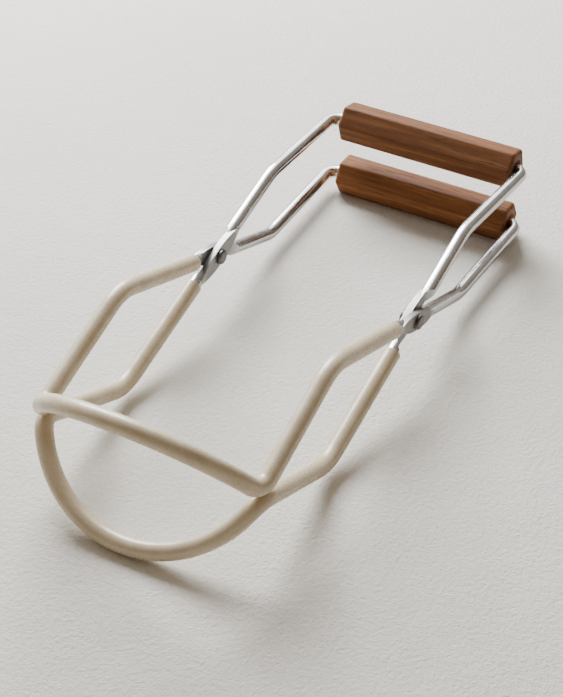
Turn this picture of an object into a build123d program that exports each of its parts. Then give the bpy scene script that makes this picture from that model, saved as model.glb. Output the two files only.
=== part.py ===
"""A canning jar lifter: two crossed wire frames on riveted pivots, with dipped
vinyl jaws and two wooden grips.

Millimetres. X runs across the lifter, along the hinge axis, +Y points from the
jaws to the grips, and +Z is up. The lifter lies on the plane Z = 0, on its lower
jaw and its lower grip, and the origin is below the middle of its outer size.
"""

from build123d import *
import os
from math import asin, atan2, cos, degrees, hypot, radians, sin, tan

# --- Driving dimensions -------------------------------------------------------
wire_diameter = 6.0
coating_thickness = 0.85

# Half widths of a frame, to the middle of the wire
grip_half_width = 51.0
pivot_half_width = 49.0
tip_half_width = 49.4

# Side view of one frame, measured in the plane that the two frames mirror about
cross_angle = 18.2  # slope of the crossing arm
pivot_to_grip_bend = 54.0  # along the arm
pivot_to_jaw_bend = 80.4  # along the arm
grip_reach = 117.5  # pivot to grip axis
grip_rise = 14.9  # grip axis above the mirror plane
tip_reach = 132.4  # pivot to the corner where the jaw starts
tip_drop = 2.36  # that corner below the mirror plane

# The jaw is an arc in a plane that leans away from the arms
jaw_lean = 51.8  # angle of the jaw's plane to the mirror plane
jaw_flare = 26.5  # half the angle between the jaw's straight ends
jaw_radius = 51.8

# Bend radii, to the middle of the wire
arm_bend_radius = 22.0
tip_bend_radius = 7.8
stub_bend_radius = 6.0

# Flattened crossing of the two frames: a leaf shape, pressed to half the wire's depth
flat_height = 8.6
flat_shoulder = 8.5  # pivot to where the leaf starts to narrow
flat_tip = 20.0  # pivot to where its two sides would meet
flat_shoulder_radius = 36.0
flat_tip_radius = 1.2
flat_edge_radius = 0.4
flat_thickness = 2.9
crossing_gap = 0.3
lap_half_length = 13.5  # of the face that lies against the other frame
lap_ramp_angle = 34.0  # from that face up to the full wire
coating_start = 19.2

# Pivot rivet
shank_diameter = 4.0
shank_clearance = 0.05
rivet_head_diameter = 7.0
rivet_head_height = 1.6
rivet_head_radius = 1.1
rivet_head_gap = 0.15

# Wooden grip
grip_length = 90.6
grip_flats = 17.5  # across two opposite flats
grip_edge_radius = 2.0
grip_end_radius = 1.7
grip_slide = 1.6  # towards +X, as the grips happen to lie between the wire's corners
upper_grip_turn = -12.0  # as the upper grip happens to lie; it spins freely
stub_depth = 18.0  # of each stub, with the grip centred
bore_depth = 21.0
bore_clearance = 0.05
bore_mouth_radius = 5.0  # room for the wire's corner when the grip slides up to it
bore_mouth_angle = 90.0

wire_end_chamfer = 0.5
coating_end_radius = 0.4

# --- Values worked out from them ----------------------------------------------
wire_radius = wire_diameter / 2
coated_radius = wire_radius + coating_thickness
shank_radius = shank_diameter / 2
grip_half_flats = grip_flats / 2

# The corner where the jaw's two straight ends would meet
corner_depth = tip_half_width / tan(radians(jaw_flare))
corner_reach = tip_reach + corner_depth * cos(radians(jaw_lean))
corner_drop = tip_drop + corner_depth * sin(radians(jaw_lean))

# The jaw arc's lowest point, to the middle of the wire
arc_depth = corner_depth + jaw_radius - jaw_radius / sin(radians(jaw_flare))
low_reach = tip_reach + arc_depth * cos(radians(jaw_lean))
low_drop = tip_drop + arc_depth * sin(radians(jaw_lean))

# The mirror plane slopes, because the jaw and the grip rest on one surface
rest_span = hypot(low_reach + grip_reach, low_drop - grip_rise)
pitch = degrees(
    atan2(low_drop - grip_rise, low_reach + grip_reach)
    - asin((grip_half_flats - coated_radius) / rest_span)
)
slope_cos = cos(radians(pitch))
slope_sin = sin(radians(pitch))
pivot_height = grip_half_flats + grip_reach * slope_sin + grip_rise * slope_cos
front_reach = low_reach * slope_cos + low_drop * slope_sin + coated_radius
back_reach = grip_reach * slope_cos + grip_rise * slope_sin + grip_half_flats
pivot_y = (front_reach - back_reach) / 2

mirror_plane = Plane(
    origin=(0, pivot_y, pivot_height),
    x_dir=(1, 0, 0),
    z_dir=(0, slope_sin, slope_cos),
)


def place(x, y, z):
    """A point given across, along and above the mirror plane."""
    return mirror_plane.from_local_coords(Vector(x, y, z))


def arm_direction(rise):
    """Unit vector up the crossing arm, from its jaw end to its grip end."""
    tilt = radians(cross_angle) * rise
    return place(0, cos(tilt), sin(tilt)) - place(0, 0, 0)


def arm_point(side, rise, distance):
    """A point on the crossing arm, at a distance from the pivot."""
    tilt = radians(cross_angle) * rise
    return place(side * pivot_half_width, distance * cos(tilt), distance * sin(tilt))


def jaw_half(side, rise):
    """Corners from the jaw bend to the tip, for a frame whose grip is up (1) or down (-1)."""
    return [
        arm_point(side, rise, -pivot_to_jaw_bend),
        place(side * tip_half_width, -tip_reach, -rise * tip_drop),
    ]


def grip_half(side, rise):
    """Corners from the end of the stub inside the grip to the grip bend."""
    stub_end = grip_length / 2 - stub_depth
    return [
        place(side * stub_end, grip_reach, rise * grip_rise),
        place(side * grip_half_width, grip_reach, rise * grip_rise),
        arm_point(side, rise, pivot_to_grip_bend),
    ]


def jaw_corners(rise):
    """Corners of the whole jaw, from the left jaw bend to the right one."""
    corner = place(0, -corner_reach, -rise * corner_drop)
    return [*jaw_half(-1, rise), corner, *reversed(jaw_half(1, rise))]


jaw_radii = [arm_bend_radius, tip_bend_radius, jaw_radius, tip_bend_radius, arm_bend_radius]
grip_radii = [stub_bend_radius, arm_bend_radius]


def crossing_plane(side, rise):
    """Plane across the pivot in side view: X up the arm, Z along world +X."""
    return Plane(
        origin=place(side * pivot_half_width, 0, 0),
        x_dir=arm_direction(rise),
        z_dir=(1, 0, 0),
    )


def bent_frame(rise, lap, hole_radius):
    """One continuous wire, flattened where it crosses the other frame.

    lap is -1 where the flat keeps the wire's inner half, 1 where it keeps the outer.
    """
    ends = [grip_half(-1, rise), list(reversed(grip_half(1, rise)))]
    with BuildPart() as frame:
        with BuildLine() as route:
            FilletPolyline(
                *ends[0],
                *jaw_corners(rise),
                *ends[1],
                radius=[*grip_radii, *jaw_radii, *reversed(grip_radii)],
            )
        with BuildSketch(Plane(origin=route.line @ 0, z_dir=route.line % 0)):
            Circle(wire_radius)
        sweep()
        wire_ends = frame.faces().filter_by(GeomType.PLANE)
        chamfer(wire_ends.edges(), length=wire_end_chamfer)
        for side in (-1, 1):
            kept = side * lap
            across = crossing_plane(side, rise)
            # The half of the wire that makes room for the other frame, with ramped ends
            lap_face = kept * crossing_gap / 2
            top = lap_face - kept * wire_diameter
            top_half_length = lap_half_length + wire_diameter / tan(radians(lap_ramp_angle))
            with BuildSketch(Plane(origin=across.origin, x_dir=across.x_dir, z_dir=-across.y_dir)):
                Polygon(
                    (-lap_half_length, lap_face),
                    (lap_half_length, lap_face),
                    (top_half_length, top),
                    (-top_half_length, top),
                    align=None,
                )
            extrude(amount=wire_diameter, both=True, mode=Mode.SUBTRACT)
            # The flat itself
            with BuildPart(mode=Mode.PRIVATE) as flat:
                with BuildSketch(across.offset(lap_face)) as leaf:
                    Polygon(
                        (-flat_tip, 0),
                        (-flat_shoulder, -flat_height / 2),
                        (flat_shoulder, -flat_height / 2),
                        (flat_tip, 0),
                        (flat_shoulder, flat_height / 2),
                        (-flat_shoulder, flat_height / 2),
                    )
                    tip, *shoulders, other_tip = leaf.vertices().sort_by(Axis.X)
                    fillet(shoulders, radius=flat_shoulder_radius)
                    fillet([tip, other_tip], radius=flat_tip_radius)
                extrude(amount=kept * flat_thickness)
                outer_face = flat.faces().sort_by(Axis.X)[-1 if kept > 0 else 0]
                fillet(outer_face.edges(), radius=flat_edge_radius)
            add(flat.part)
            with BuildSketch(across):
                Circle(hole_radius)
            extrude(amount=wire_diameter, both=True, mode=Mode.SUBTRACT)
    return frame


def dipped_coating(rise):
    """The vinyl skin around one jaw, from just below one pivot to the other."""
    skin_ends = [arm_point(side, rise, -coating_start) for side in (-1, 1)]
    with BuildPart() as coating:
        with BuildLine() as route:
            FilletPolyline(skin_ends[0], *jaw_corners(rise), skin_ends[1], radius=jaw_radii)
        start = Plane(origin=route.line @ 0, z_dir=route.line % 0)
        with BuildSketch(start):
            Circle(coated_radius)
        sweep()
        skin_rims = coating.faces().filter_by(GeomType.PLANE)
        fillet(skin_rims.edges(), radius=coating_end_radius)
        with BuildSketch(start):
            Circle(wire_radius)
        sweep(path=route.line, mode=Mode.SUBTRACT)
    return coating


def wooden_grip(rise, turn):
    """A six-sided grip with blind bores for the wire's stubs; turn spins it about its axis."""
    grip_ends = {
        side: place(grip_slide + side * grip_length / 2, grip_reach, rise * grip_rise)
        for side in (-1, 1)
    }
    with BuildPart() as grip:
        with BuildSketch(Plane(origin=grip_ends[-1], x_dir=(0, 1, 0), z_dir=(1, 0, 0))):
            RegularPolygon(grip_half_flats, side_count=6, major_radius=False, rotation=turn)
        extrude(amount=grip_length)
        fillet(grip.edges().filter_by(Axis.X), radius=grip_edge_radius)
        end_faces = grip.faces().filter_by(Axis.X)
        fillet(end_faces.edges(), radius=grip_end_radius)
        for side, grip_end in grip_ends.items():
            with Locations(Plane(origin=grip_end, z_dir=(side, 0, 0))):
                CounterSinkHole(
                    radius=wire_radius + bore_clearance,
                    counter_sink_radius=bore_mouth_radius,
                    depth=bore_depth,
                    counter_sink_angle=bore_mouth_angle,
                )
    return grip


def pivot_rivet(side):
    """A rivet with two rounded heads, set in the outer frame."""
    axis_plane = Plane(origin=place(side * pivot_half_width, 0, 0), z_dir=(side, 0, 0))
    flat_face = crossing_gap / 2 + flat_thickness
    inner_face = -flat_face - rivet_head_gap
    with BuildPart() as rivet:
        with BuildSketch(axis_plane.offset(inner_face)):
            Circle(shank_radius)
        extrude(amount=flat_face - inner_face)
        for face, outward in ((flat_face, 1), (inner_face, -1)):
            with BuildSketch(axis_plane.offset(face)):
                Circle(rivet_head_diameter / 2)
            extrude(amount=outward * rivet_head_height)
        head_ends = rivet.faces().sort_by(Axis.X)
        for end_face in (head_ends[0], head_ends[-1]):
            fillet(end_face.edges(), radius=rivet_head_radius)
    return rivet


# --- The pieces ---------------------------------------------------------------
pieces = {
    "inner_frame": bent_frame(1, -1, shank_radius + shank_clearance),
    "outer_frame": bent_frame(-1, 1, shank_radius),
    "lower_jaw_coating": dipped_coating(1),
    "upper_jaw_coating": dipped_coating(-1),
    "upper_grip": wooden_grip(1, upper_grip_turn),
    "lower_grip": wooden_grip(-1, 0),
    "left_rivet": pivot_rivet(-1),
    "right_rivet": pivot_rivet(1),
}

os.makedirs("parts", exist_ok=True)
for name, piece in pieces.items():
    piece.part.label = name
    export_step(piece.part, f"parts/{name}.step")
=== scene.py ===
"""Looks of a canning jar lifter: polished wire, dipped vinyl jaws and wooden grips.

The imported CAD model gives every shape. This script adds the materials, a pale
floor, soft light and the camera. Lengths are metres, in the model's own frame,
and colours are linear RGB.
"""

import math

import bmesh
import bpy
from mathutils import Matrix, Vector


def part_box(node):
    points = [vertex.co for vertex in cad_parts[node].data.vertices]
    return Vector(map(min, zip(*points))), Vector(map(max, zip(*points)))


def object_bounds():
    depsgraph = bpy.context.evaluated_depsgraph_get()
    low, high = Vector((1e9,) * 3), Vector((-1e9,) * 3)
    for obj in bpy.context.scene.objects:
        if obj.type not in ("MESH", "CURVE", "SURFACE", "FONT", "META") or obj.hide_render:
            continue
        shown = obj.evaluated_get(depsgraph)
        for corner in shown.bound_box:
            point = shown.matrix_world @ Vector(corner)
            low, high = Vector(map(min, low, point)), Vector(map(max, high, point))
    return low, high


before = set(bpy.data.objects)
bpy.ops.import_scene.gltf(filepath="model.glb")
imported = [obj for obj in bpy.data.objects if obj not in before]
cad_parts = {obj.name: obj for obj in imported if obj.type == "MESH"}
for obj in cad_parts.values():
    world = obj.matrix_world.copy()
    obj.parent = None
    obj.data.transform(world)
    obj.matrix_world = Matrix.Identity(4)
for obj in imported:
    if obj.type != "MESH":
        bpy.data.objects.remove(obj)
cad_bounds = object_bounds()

# --- Camera -------------------------------------------------------------------
CAMERA_AZIMUTH = 28.5  # degrees, from the jaws' end towards +X
CAMERA_ELEVATION = 38.2  # degrees
CAMERA_ROLL = 0.68  # degrees
CAMERA_DISTANCE = 0.710
CAMERA_AIM = Vector((0.0114, -0.0313, 0.030))
CAMERA_LENS = 88.0  # millimetres, like the sensor
CAMERA_SENSOR = 36.0
CAMERA_CLIP = 0.01

# --- Light and floor ----------------------------------------------------------
KEY_DIRECTION = Vector((-0.95, 0.85, 1.05)).normalized()
KEY = {"distance": 1.25, "size": 0.80, "watts": 49.5, "colour": (0.945, 0.975, 1.0)}
WINDOW = {"distance": 1.6, "size": 2.4, "watts": 55.0, "colour": (0.97, 0.98, 1.0)}

SKY_STRENGTH = 0.55
SKY_STOPS = ((0.42, (0.35, 0.25, 0.155)), (0.92, (0.95, 0.88, 0.79)))  # 0 opposite the key, 1 at it

FLOOR_SIZE = 6.0
FLOOR_STOPS = ((0.3, (0.745, 0.705, 0.640)), (0.7, (0.78, 0.748, 0.69)))
FLOOR_GRAIN = (0.50, 0.47, 0.42)
FLOOR_ROUGHNESS = 0.9

# --- Surfaces -----------------------------------------------------------------
NOISE_RANGE = (0.3, 0.7)  # most of a noise lies in it

STEEL_HAZE = ((0.3, (0.58, 0.58, 0.595)), (0.7, (0.70, 0.70, 0.71)))
STEEL_DRAW_MARK = (0.40, 0.395, 0.39)
# Painted shade: the pressed flats are darkened far below steel's own tone
STEEL_PRESSED_PAINTED_SHADE = (0.25, 0.245, 0.235)
STEEL_SCRATCH = (0.30, 0.29, 0.28)
STEEL_WORN_EDGE = (0.80, 0.80, 0.80)
# Painted shade: a grazing tint dimmer than real steel's darkens the wire along its edges
STEEL_GRAZING_PAINTED_SHADE = (0.62, 0.60, 0.58)
STEEL_ROUGHNESS = (0.14, 0.23)
PRESSED_REACH = (0.013, 0.019)  # from the pivot's axis: fully pressed, not at all

RIVET_DARK_TONES = ((0.35, (0.075, 0.069, 0.063)), (0.7, (0.17, 0.16, 0.15)))
RIVET_RUBBED = (0.36, 0.35, 0.34)
RIVET_RIM = (0.50, 0.48, 0.46)
RIVET_ROUGHNESS = (0.32, 0.48)
RUBBED_REACH = (0.0012, 0.0032)

VINYL = ((0.3, (0.545, 0.447, 0.298)), (0.7, (0.635, 0.537, 0.386)))
VINYL_CLOUD = (0.485, 0.385, 0.242)
VINYL_SPECK = (0.33, 0.27, 0.19)
VINYL_SCUFF = (0.80, 0.75, 0.65)
VINYL_ROUGHNESS = (0.22, 0.33)
VINYL_IOR = 1.5
VINYL_GLOW = 0.12
VINYL_GLOW_RADIUS = (0.0015, 0.0010, 0.0006)

WOOD_STREAKS = (
    (0.28, (0.066, 0.024, 0.010)),
    (0.50, (0.150, 0.056, 0.021)),
    (0.72, (0.275, 0.120, 0.043)),
)
WOOD_BROAD = (0.235, 0.098, 0.036)
WOOD_RING = (0.068, 0.026, 0.012)
WOOD_PORE = (0.026, 0.011, 0.006)
WOOD_WORN_EDGE = (0.42, 0.235, 0.10)
WOOD_ROUGHNESS = (0.50, 0.64)
WOOD_IOR = 1.3
WOOD_SPECULAR = 0.25
GRAIN_STRETCH = 0.05  # a streak is one over this longer than it is wide
PORE_STRETCH = 0.035

# Each grip's heart of the tree, across from its middle, where its grain starts, and its
# painted-light gain: the lower grip's wood tones are painted paler to lift the shade it lies in
# under the upper grip, and the upper grip's a little darker
GRIPS = {
    "upper_grip": {"heart": (0.011, 0.004), "start": 0.0, "painted_light_gain": 0.95},
    "lower_grip": {"heart": (-0.009, 0.010), "start": 1.3, "painted_light_gain": 1.35},
}


def middle(node):
    low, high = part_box(node)
    return (low + high) / 2


def look_at(place, aim, roll=0.0):
    """A rotation that looks from place towards aim, turned by roll degrees."""
    turn = (aim - place).to_track_quat("-Z", "Y").to_matrix().to_4x4()
    return Matrix.Translation(place) @ turn @ Matrix.Rotation(math.radians(roll), 4, "Z")


def make_camera():
    azimuth = math.radians(CAMERA_AZIMUTH)
    elevation = math.radians(CAMERA_ELEVATION)
    back = Vector((
        math.sin(azimuth) * math.cos(elevation),
        -math.cos(azimuth) * math.cos(elevation),
        math.sin(elevation),
    ))
    data = bpy.data.cameras.new("camera")
    data.lens = CAMERA_LENS
    data.sensor_width = CAMERA_SENSOR
    data.clip_start = CAMERA_CLIP
    camera = bpy.data.objects.new("camera", data)
    camera.matrix_world = look_at(CAMERA_AIM + back * CAMERA_DISTANCE, CAMERA_AIM, CAMERA_ROLL)
    bpy.context.scene.collection.objects.link(camera)
    bpy.context.scene.camera = camera


# --- Node helpers -------------------------------------------------------------
def fill_ramp(node, stops):
    """Sets a colour ramp to (position, colour) stops."""
    elements = node.color_ramp.elements
    while len(elements) < len(stops):
        elements.new(0.5)
    for element, (position, colour) in zip(elements, stops):
        element.position = position
        element.color = (*colour, 1.0)


class Shader:
    """A small builder for node materials: each method adds its nodes and returns their output."""

    def __init__(self, name):
        self.material = bpy.data.materials.new(name)
        self.material.use_nodes = True
        self.nodes = self.material.node_tree.nodes
        self.links = self.material.node_tree.links
        self.surface = self.nodes["Principled BSDF"]

    def link(self, value, socket):
        """Links an output to a socket, or sets the socket to a number or a colour."""
        if isinstance(value, bpy.types.NodeSocket):
            self.links.new(value, socket)
        elif isinstance(value, tuple):
            socket.default_value = (*value, 1.0)
        else:
            socket.default_value = value

    def place(self, scale=(1, 1, 1), rotation=(0, 0, 0), location=(0, 0, 0)):
        """Coordinates in the model's frame, which stay with the piece when it moves."""
        coordinates = self.nodes.new("ShaderNodeTexCoord")
        mapping = self.nodes.new("ShaderNodeMapping")
        mapping.inputs["Scale"].default_value = scale
        mapping.inputs["Rotation"].default_value = rotation
        mapping.inputs["Location"].default_value = location
        self.links.new(coordinates.outputs["Object"], mapping.inputs["Vector"])
        return mapping.outputs["Vector"]

    def noise(self, vector, scale, detail=3.0, roughness=0.5, distortion=0.0):
        node = self.nodes.new("ShaderNodeTexNoise")
        self.links.new(vector, node.inputs["Vector"])
        node.inputs["Scale"].default_value = scale
        node.inputs["Detail"].default_value = detail
        node.inputs["Roughness"].default_value = roughness
        node.inputs["Distortion"].default_value = distortion
        return node.outputs["Fac"]

    def rings(self, vector, scale, distortion, detail_scale):
        """Growth rings about a line along X."""
        node = self.nodes.new("ShaderNodeTexWave")
        node.wave_type = "RINGS"
        node.rings_direction = "X"
        self.links.new(vector, node.inputs["Vector"])
        node.inputs["Scale"].default_value = scale
        node.inputs["Distortion"].default_value = distortion
        node.inputs["Detail"].default_value = 3.0
        node.inputs["Detail Scale"].default_value = detail_scale
        return node.outputs["Fac"]

    def ramp(self, value, stops):
        node = self.nodes.new("ShaderNodeValToRGB")
        self.links.new(value, node.inputs["Fac"])
        fill_ramp(node, stops)
        return node.outputs["Color"]

    def span(self, value, limits, results=(0.0, 1.0)):
        """Maps a value between two limits to between two results, and holds it there."""
        node = self.nodes.new("ShaderNodeMapRange")
        self.link(value, node.inputs["Value"])
        node.inputs["From Min"].default_value, node.inputs["From Max"].default_value = limits
        node.inputs["To Min"].default_value, node.inputs["To Max"].default_value = results
        return node.outputs["Result"]

    def mix(self, factor, first, second):
        node = self.nodes.new("ShaderNodeMix")
        node.data_type = "RGBA"
        self.link(factor, node.inputs["Factor"])
        for value, name in ((first, "A"), (second, "B")):
            self.link(value, next(s for s in node.inputs if s.name == name and s.type == "RGBA"))
        return next(s for s in node.outputs if s.type == "RGBA")

    def maths(self, operation, first, second):
        node = self.nodes.new("ShaderNodeMath")
        node.operation = operation
        self.link(first, node.inputs[0])
        self.link(second, node.inputs[1])
        return node.outputs["Value"]

    def add(self, first, second):
        return self.maths("ADD", first, second)

    def times(self, first, second):
        return self.maths("MULTIPLY", first, second)

    def near_axis(self, axis, reach):
        """1 within the first reach of a line along X through axis, and 0 beyond the second."""
        coordinates = self.nodes.new("ShaderNodeTexCoord")
        flat = self.nodes.new("ShaderNodeVectorMath")
        flat.operation = "MULTIPLY"
        self.links.new(coordinates.outputs["Object"], flat.inputs[0])
        flat.inputs[1].default_value = (0, 1, 1)
        gap = self.nodes.new("ShaderNodeVectorMath")
        gap.operation = "DISTANCE"
        self.links.new(flat.outputs["Vector"], gap.inputs[0])
        gap.inputs[1].default_value = (0, axis.y, axis.z)
        return self.span(gap.outputs["Value"], reach, (1.0, 0.0))

    def edges(self, radius):
        """1 on sharp edges and 0 on open faces."""
        bevel = self.nodes.new("ShaderNodeBevel")
        bevel.samples = 4
        bevel.inputs["Radius"].default_value = radius
        geometry = self.nodes.new("ShaderNodeNewGeometry")
        dot = self.nodes.new("ShaderNodeVectorMath")
        dot.operation = "DOT_PRODUCT"
        self.links.new(bevel.outputs["Normal"], dot.inputs[0])
        self.links.new(geometry.outputs["Normal"], dot.inputs[1])
        return self.span(dot.outputs["Value"], (1.0, 0.9))

    def bump(self, height, distance, strength, normal=None):
        node = self.nodes.new("ShaderNodeBump")
        node.inputs["Distance"].default_value = distance
        node.inputs["Strength"].default_value = strength
        self.links.new(height, node.inputs["Height"])
        if normal is not None:
            self.links.new(normal, node.inputs["Normal"])
        return node.outputs["Normal"]

    def finish(self, **inputs):
        """Links or sets the surface's inputs, such as base_color, and returns the material."""
        for name, value in inputs.items():
            self.link(value, self.surface.inputs[name.replace("_", " ").title()])
        return self.material


# --- Materials ----------------------------------------------------------------
def wire_steel(pivot):
    """Bright drawn wire: draw marks along it, fine scratches, and satin with painted shade where it
    is pressed flat.
    """
    shader = Shader("wire_steel")
    every = shader.place()
    pressed = shader.near_axis(pivot, PRESSED_REACH)
    haze = shader.noise(every, scale=90, detail=5, roughness=0.6)
    draw_marks = shader.noise(shader.place(scale=(1.0, 0.05, 1.0)), scale=3200, roughness=0.6)
    scratch_place = shader.place(scale=(0.16, 1.0, 0.5), rotation=(0.5, 0.2, 0.9))
    scratch_noise = shader.noise(scratch_place, scale=1300, detail=4, roughness=0.7)
    scratches = shader.span(scratch_noise, (0.63, 0.68))
    press_noise = shader.noise(shader.place(scale=(1.0, 0.3, 1.0)), scale=1500, roughness=0.6)
    press_marks = shader.times(pressed, press_noise)

    tone = shader.ramp(haze, STEEL_HAZE)
    tone = shader.mix(shader.span(draw_marks, (0.40, 0.75), (0.0, 0.25)), tone, STEEL_DRAW_MARK)
    # Painted shade: darkens the pressed flats, on top of their satin roughness
    tone = shader.mix(shader.times(pressed, 0.9), tone, STEEL_PRESSED_PAINTED_SHADE)
    tone = shader.mix(shader.times(scratches, 0.45), tone, STEEL_SCRATCH)
    tone = shader.mix(shader.times(shader.edges(0.0005), 0.5), tone, STEEL_WORN_EDGE)

    rough = shader.span(haze, NOISE_RANGE, STEEL_ROUGHNESS)
    rough = shader.add(rough, shader.times(scratches, 0.15))
    rough = shader.add(rough, shader.span(draw_marks, NOISE_RANGE, (-0.04, 0.06)))
    rough = shader.add(rough, shader.times(pressed, 0.20))

    normal = shader.bump(draw_marks, distance=0.00005, strength=0.6)
    marks = shader.add(press_marks, scratches)
    normal = shader.bump(marks, distance=0.00005, strength=0.7, normal=normal)
    # The dim grazing tint paints shade along the wire's edges
    return shader.finish(
        base_color=tone, metallic=1.0, roughness=rough, normal=normal, specular_tint=STEEL_GRAZING_PAINTED_SHADE
    )


def rivet_steel(pivot):
    """Rivets darker than the wire all over: hammered heads, brighter rims and a ring of wear about
    the axis.
    """
    shader = Shader("rivet_steel")
    every = shader.place()
    stain = shader.noise(every, scale=900, detail=5, roughness=0.6)
    marks = shader.noise(every, scale=1500)
    rubbed = shader.near_axis(pivot, RUBBED_REACH)

    tone = shader.ramp(stain, RIVET_DARK_TONES)
    tone = shader.mix(shader.times(rubbed, 0.10), tone, RIVET_RUBBED)
    tone = shader.mix(shader.times(shader.edges(0.0006), 0.35), tone, RIVET_RIM)
    rough = shader.span(marks, NOISE_RANGE, RIVET_ROUGHNESS)
    normal = shader.bump(marks, distance=0.0001, strength=0.7)
    return shader.finish(base_color=tone, metallic=1.0, roughness=rough, normal=normal)


def dip_vinyl():
    """Ivory dipped vinyl: slow sags from dipping, a fine orange-peel skin, specks and scuffs."""
    shader = Shader("dip_vinyl")
    every = shader.place()
    sag = shader.noise(every, scale=85, detail=2)
    cloud = shader.noise(every, scale=240, detail=4)
    peel = shader.noise(every, scale=1100)
    specks = shader.span(shader.noise(every, scale=2300, detail=1), (0.70, 0.76))
    scuff_place = shader.place(scale=(0.22, 1.0, 0.5), rotation=(0.3, 0.7, 0.4))
    scuff_noise = shader.noise(scuff_place, scale=620, detail=4, roughness=0.65)
    scuffs = shader.span(scuff_noise, (0.64, 0.72))

    tone = shader.ramp(sag, VINYL)
    tone = shader.mix(shader.span(cloud, (0.35, 0.70), (0.0, 0.15)), tone, VINYL_CLOUD)
    tone = shader.mix(shader.times(specks, 0.30), tone, VINYL_SPECK)
    tone = shader.mix(shader.times(scuffs, 0.14), tone, VINYL_SCUFF)
    rough = shader.span(peel, NOISE_RANGE, VINYL_ROUGHNESS)
    rough = shader.add(rough, shader.times(scuffs, 0.16))
    normal = shader.bump(sag, distance=0.0005, strength=0.6)
    normal = shader.bump(peel, distance=0.00011, strength=0.4, normal=normal)

    shader.surface.inputs["IOR"].default_value = VINYL_IOR
    shader.surface.inputs["Subsurface Weight"].default_value = VINYL_GLOW
    shader.surface.inputs["Subsurface Radius"].default_value = VINYL_GLOW_RADIUS
    return shader.finish(base_color=tone, roughness=rough, normal=normal)


def grip_wood(name, heart, start, painted_light_gain):
    """Oiled brown hardwood: rings about an off-centre heart, dark pores and worn edges, with its
    tones scaled by a painted-light gain.
    """

    # Painted light: scales a wood colour by the grip's painted-light gain
    def with_painted_light(colour):
        return tuple(Vector(colour) * painted_light_gain)

    shader = Shader(name)
    along = shader.place(scale=(GRAIN_STRETCH, 1, 1), location=(start, 0, 0))
    about_heart = shader.place(scale=(GRAIN_STRETCH, 1, 1), location=(start, -heart[0], -heart[1]))
    pore_place = shader.place(scale=(PORE_STRETCH, 1, 1), location=(start, 0, 0))
    ring = shader.rings(about_heart, scale=150, distortion=4.0, detail_scale=60)
    streak = shader.noise(along, scale=420, detail=5, roughness=0.62, distortion=0.3)
    broad = shader.noise(along, scale=90)
    pores = shader.span(shader.noise(pore_place, scale=2100, roughness=0.6), (0.60, 0.68))

    # Painted light: the streak and broad wood tones are scaled per grip, paler where the grip lies
    # in shade
    tone = shader.ramp(streak, [(position, with_painted_light(colour)) for position, colour in WOOD_STREAKS])
    tone = shader.mix(shader.span(ring, (0.35, 0.95), (0.0, 0.45)), tone, WOOD_RING)
    tone = shader.mix(shader.span(broad, (0.35, 0.7), (0.0, 0.5)), tone, with_painted_light(WOOD_BROAD))
    tone = shader.mix(shader.times(pores, 0.7), tone, WOOD_PORE)
    tone = shader.mix(shader.times(shader.edges(0.0012), 0.45), tone, WOOD_WORN_EDGE)
    rough = shader.add(shader.span(streak, NOISE_RANGE, WOOD_ROUGHNESS), shader.times(pores, 0.2))
    height = shader.maths("SUBTRACT", shader.times(streak, 0.35), pores)
    normal = shader.bump(height, distance=0.00012, strength=0.7)

    shader.surface.inputs["IOR"].default_value = WOOD_IOR
    shader.surface.inputs["Specular IOR Level"].default_value = WOOD_SPECULAR
    return shader.finish(base_color=tone, roughness=rough, normal=normal)


def plaster_floor():
    """A pale matte surface with a fine trowelled grain."""
    shader = Shader("plaster_floor")
    every = shader.place()
    broad = shader.noise(every, scale=6)
    swell = shader.noise(every, scale=45, detail=4)
    grain = shader.noise(every, scale=480, detail=5, roughness=0.65)
    grit = shader.noise(every, scale=1400, detail=2)

    tone = shader.ramp(broad, FLOOR_STOPS)
    tone = shader.mix(shader.span(grain, (0.40, 0.62), (0.0, 0.10)), tone, FLOOR_GRAIN)
    normal = shader.bump(swell, distance=0.0016, strength=0.5)
    rough_skin = shader.add(grain, shader.times(grit, 0.4))
    normal = shader.bump(rough_skin, distance=0.0009, strength=1.0, normal=normal)
    return shader.finish(base_color=tone, roughness=FLOOR_ROUGHNESS, normal=normal)


def dress(nodes, material):
    """Gives every surface of some CAD nodes the same material."""
    for node in nodes:
        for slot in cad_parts[node].material_slots:
            slot.material = material


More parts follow.
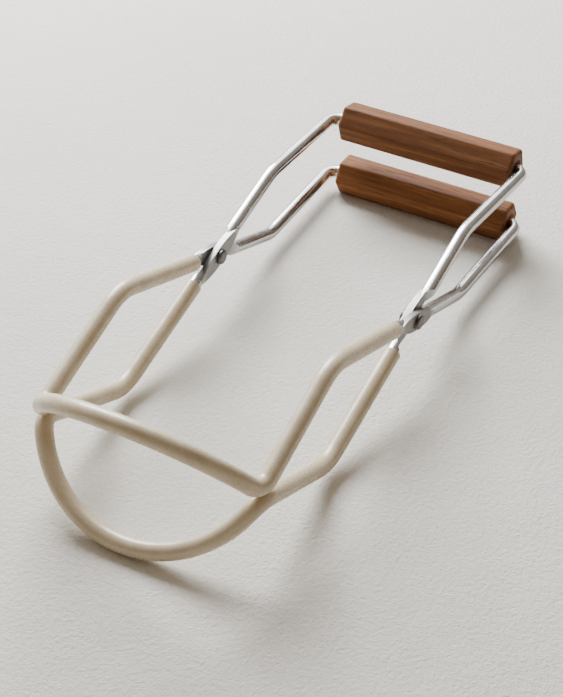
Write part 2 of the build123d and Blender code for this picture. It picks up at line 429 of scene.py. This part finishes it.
# --- Floor, light and sky -----------------------------------------------------
def make_floor():
    grid = bmesh.new()
    bmesh.ops.create_grid(grid, x_segments=1, y_segments=1, size=FLOOR_SIZE / 2)
    mesh = bpy.data.meshes.new("floor")
    grid.to_mesh(mesh)
    grid.free()
    floor = bpy.data.objects.new("floor", mesh)
    floor.location.z = cad_bounds[0][2]
    mesh.materials.append(plaster_floor())
    bpy.context.scene.collection.objects.link(floor)


def make_light(name, distance, size, watts, colour):
    """A soft disk light that shines on the lifter from the key's direction."""
    data = bpy.data.lights.new(name, "AREA")
    data.shape = "DISK"
    data.size = size
    data.energy = watts
    data.color = colour
    light = bpy.data.objects.new(name, data)
    light.matrix_world = look_at(KEY_DIRECTION * distance, Vector((0, 0, 0)))
    bpy.context.scene.collection.objects.link(light)
    return light


def make_window():
    """A wide pale card around the key that only reflections show, for broad highlights."""
    window = make_light("window", **WINDOW)
    window.visible_diffuse = False
    window.visible_camera = False


def make_sky():
    """Soft room light: brighter behind and above the lifter, dimmer on the camera's side."""
    world = bpy.data.worlds.new("room")
    world.use_nodes = True
    nodes = world.node_tree.nodes
    links = world.node_tree.links
    background = nodes["Background"]
    coordinates = nodes.new("ShaderNodeTexCoord")
    dot = nodes.new("ShaderNodeVectorMath")
    dot.operation = "DOT_PRODUCT"
    dot.inputs[1].default_value = KEY_DIRECTION
    links.new(coordinates.outputs["Generated"], dot.inputs[0])
    shift = nodes.new("ShaderNodeMapRange")
    shift.inputs["From Min"].default_value = -1.0
    links.new(dot.outputs["Value"], shift.inputs["Value"])
    ramp = nodes.new("ShaderNodeValToRGB")
    fill_ramp(ramp, SKY_STOPS)
    links.new(shift.outputs["Result"], ramp.inputs["Fac"])
    links.new(ramp.outputs["Color"], background.inputs["Color"])
    background.inputs["Strength"].default_value = SKY_STRENGTH
    bpy.context.scene.world = world


# --- The scene ----------------------------------------------------------------
make_camera()

pivot = middle("left_rivet")
dress(["inner_frame", "outer_frame"], wire_steel(pivot))
dress(["lower_jaw_coating", "upper_jaw_coating"], dip_vinyl())
dress(["left_rivet", "right_rivet"], rivet_steel(pivot))
for node, grip in GRIPS.items():
    centre = middle(node)
    heart = (centre.y + grip["heart"][0], centre.z + grip["heart"][1])
    dress([node], grip_wood(node + "_wood", heart, grip["start"], grip["painted_light_gain"]))

make_floor()
make_light("key", **KEY)
make_window()
make_sky()
